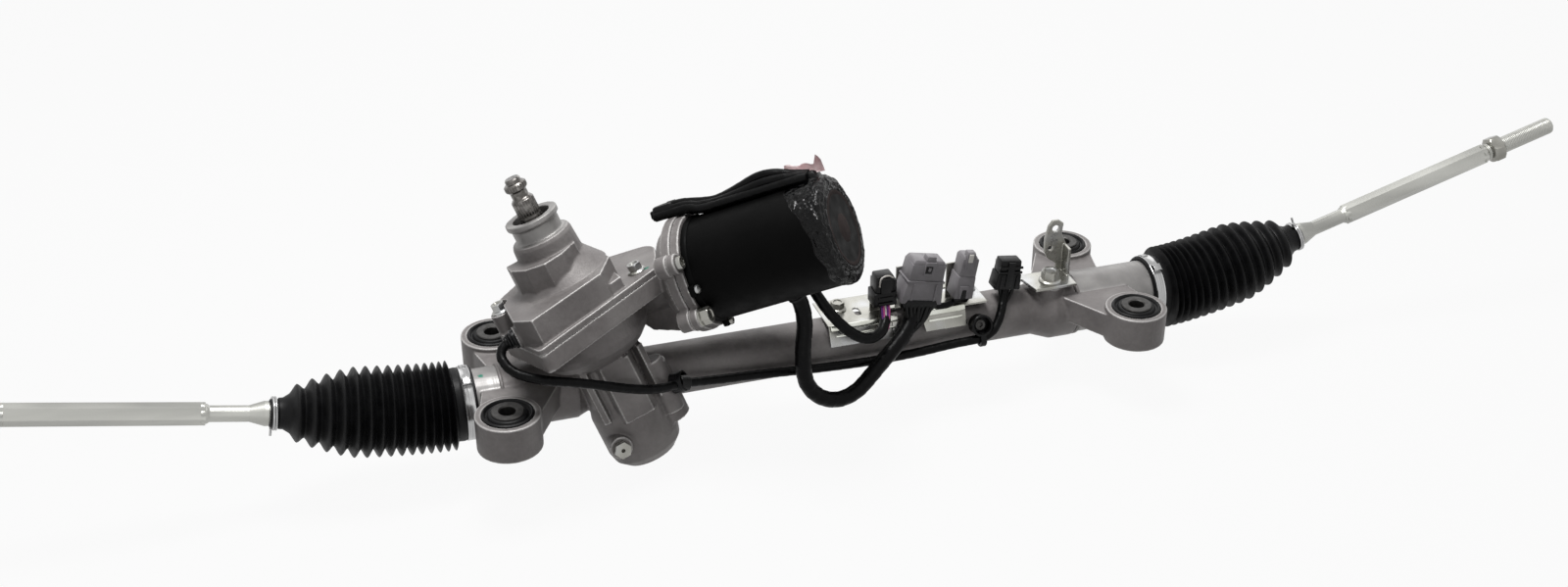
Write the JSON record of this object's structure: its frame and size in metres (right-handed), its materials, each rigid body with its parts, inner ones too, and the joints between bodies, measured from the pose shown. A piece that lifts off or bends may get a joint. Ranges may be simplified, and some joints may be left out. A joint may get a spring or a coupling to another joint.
{
  "type": "power steering rack",
  "caption": "Steering rack with a splined pinion tower, worm gear motor, rubber boots, tie rods, bushed mounting lugs and a bracket of plugs.",
  "frame": {"origin": "on the rack axis, midway between the mounting bushes", "axes": "+X along the rack to the motor side, +Y to the rear lugs, +Z along the bush bores, up"},
  "size_m": [1.3694, 0.1811, 0.2492],
  "materials": {
    "cast_aluminium": "die cast, lightly blasted",
    "zinc_steel": "zinc plated",
    "steel": "ground steel",
    "rod_steel": "forged, oiled",
    "black_rubber": "moulded",
    "cable_sheath": "taped loom",
    "black_plastic": "moulded",
    "grey_plastic": "moulded",
    "black_paint": "gloss paint",
    "white_nylon": "moulded",
    "copper_wire": "enamelled copper",
    "bearing_bronze": "sintered",
    "dark_iron": "pressed"
  },
  "bodies": {
    "housing": {"bearing_balls": "steel", "boot_bands": "zinc_steel", "bracket_bolts": "zinc_steel", "branch_cable": "cable_sheath", "breather_screw": "zinc_steel", "bush_rubbers": "black_rubber", "bush_sleeves": "steel", "cable_clips": "black_plastic", "cable_glands": "black_plastic", "connector_bracket": "zinc_steel", "cover_bolts": "zinc_steel", "guide_locknut": "zinc_steel", "guide_plug": "cast_aluminium", "guide_spring": "steel", "guide_yoke": "cast_aluminium", "hook_bracket": "zinc_steel", "input_seal": "black_rubber", "left_boot": "black_rubber", "motor_bolts": "zinc_steel", "motor_can": "black_paint", "motor_flange": "black_paint", "motor_harness": "cable_sheath", "narrow_connector": "grey_plastic", "outer_bearing_rings": "steel", "pinion_cap": "cast_aluminium", "position_sensor": "white_nylon", "power_cable": "cable_sheath", "power_connector": "grey_plastic", "rack_bush": "bearing_bronze", "rack_housing": "cast_aluminium", "right_boot": "black_rubber", "sensor_cable": "cable_sheath", "sensor_connector": "black_plastic", "sensor_cover": "cast_aluminium", "signal_cable": "cable_sheath", "signal_connector": "black_plastic", "stator_core": "dark_iron", "stator_winding": "copper_wire", "torque_sensor_coil": "white_nylon"},
    "rack": {"rack_bar": "steel", "left_ball_socket": "steel", "right_ball_socket": "steel"},
    "pinion": {"pinion_shaft": "steel", "torsion_bar": "steel", "pinion_inner_rings": "steel", "wheel_hub": "steel", "wheel_rim": "white_nylon"},
    "input": {"input_shaft": "steel"},
    "rotor": {"worm_shaft": "steel", "rotor_shaft": "steel", "rotor_magnets": "dark_iron", "rotor_inner_rings": "steel"},
    "left_seat": {"left_ball_seat": "white_nylon"},
    "right_seat": {"right_ball_seat": "white_nylon"},
    "left_rod": {"left_tie_rod": "rod_steel", "left_locknut": "zinc_steel", "left_rod_clip": "zinc_steel"},
    "right_rod": {"right_tie_rod": "rod_steel", "right_locknut": "zinc_steel", "right_rod_clip": "zinc_steel"}
  },
  "joints": [
    {"name": "rotor_spin", "type": "hinge", "parent": "housing", "child": "rotor", "pos_m": [-0.16143, 0.03483, 0.05264], "axis": [0.7881, -0.4626, 0.4061], "range_deg": [-9980, 9980]},
    {"name": "rack_slide", "type": "slide", "parent": "housing", "child": "rack", "axis": [1, 0, 0], "range_m": [-0.065, 0.065], "deforming": ["left_boot", "right_boot"]},
    {"name": "pinion_spin", "type": "hinge", "parent": "housing", "child": "pinion", "pos_m": [-0.1665, -0.01653, 0.00397], "axis": [-0.342, 0.2194, 0.9137], "range_deg": [-490, 490]},
    {"name": "input_twist", "type": "hinge", "parent": "pinion", "child": "input", "pos_m": [-0.1665, -0.01653, 0.00397], "axis": [-0.342, 0.2194, 0.9137], "range_deg": [-4.5, 4.5], "stiffness_Nm_per_rad": 130},
    {"name": "left_rod_yaw", "type": "hinge", "parent": "rack", "child": "left_seat", "pos_m": [-0.327, 0, 0], "axis": [0, 0, 1], "range_deg": [-18, 18], "deforming": ["left_boot"]},
    {"name": "left_rod_pitch", "type": "hinge", "parent": "left_seat", "child": "left_rod", "pos_m": [-0.327, 0, 0], "axis": [0, 1, 0], "range_deg": [-31, 9], "deforming": ["left_boot"]},
    {"name": "right_rod_yaw", "type": "hinge", "parent": "rack", "child": "right_seat", "pos_m": [0.347, 0, 0], "axis": [0, 0, 1], "range_deg": [-18, 18], "deforming": ["right_boot"]},
    {"name": "right_rod_pitch", "type": "hinge", "parent": "right_seat", "child": "right_rod", "pos_m": [0.347, 0, 0], "axis": [0, -1, 0], "range_deg": [-36.3, 3.7], "deforming": ["right_boot"]}
  ],
  "couplings": [
    {"joint": "rotor_spin", "follows": "rack_slide", "rad_per_m": -2675.5},
    {"joint": "pinion_spin", "follows": "rack_slide", "rad_per_m": -130.51}
  ]
}
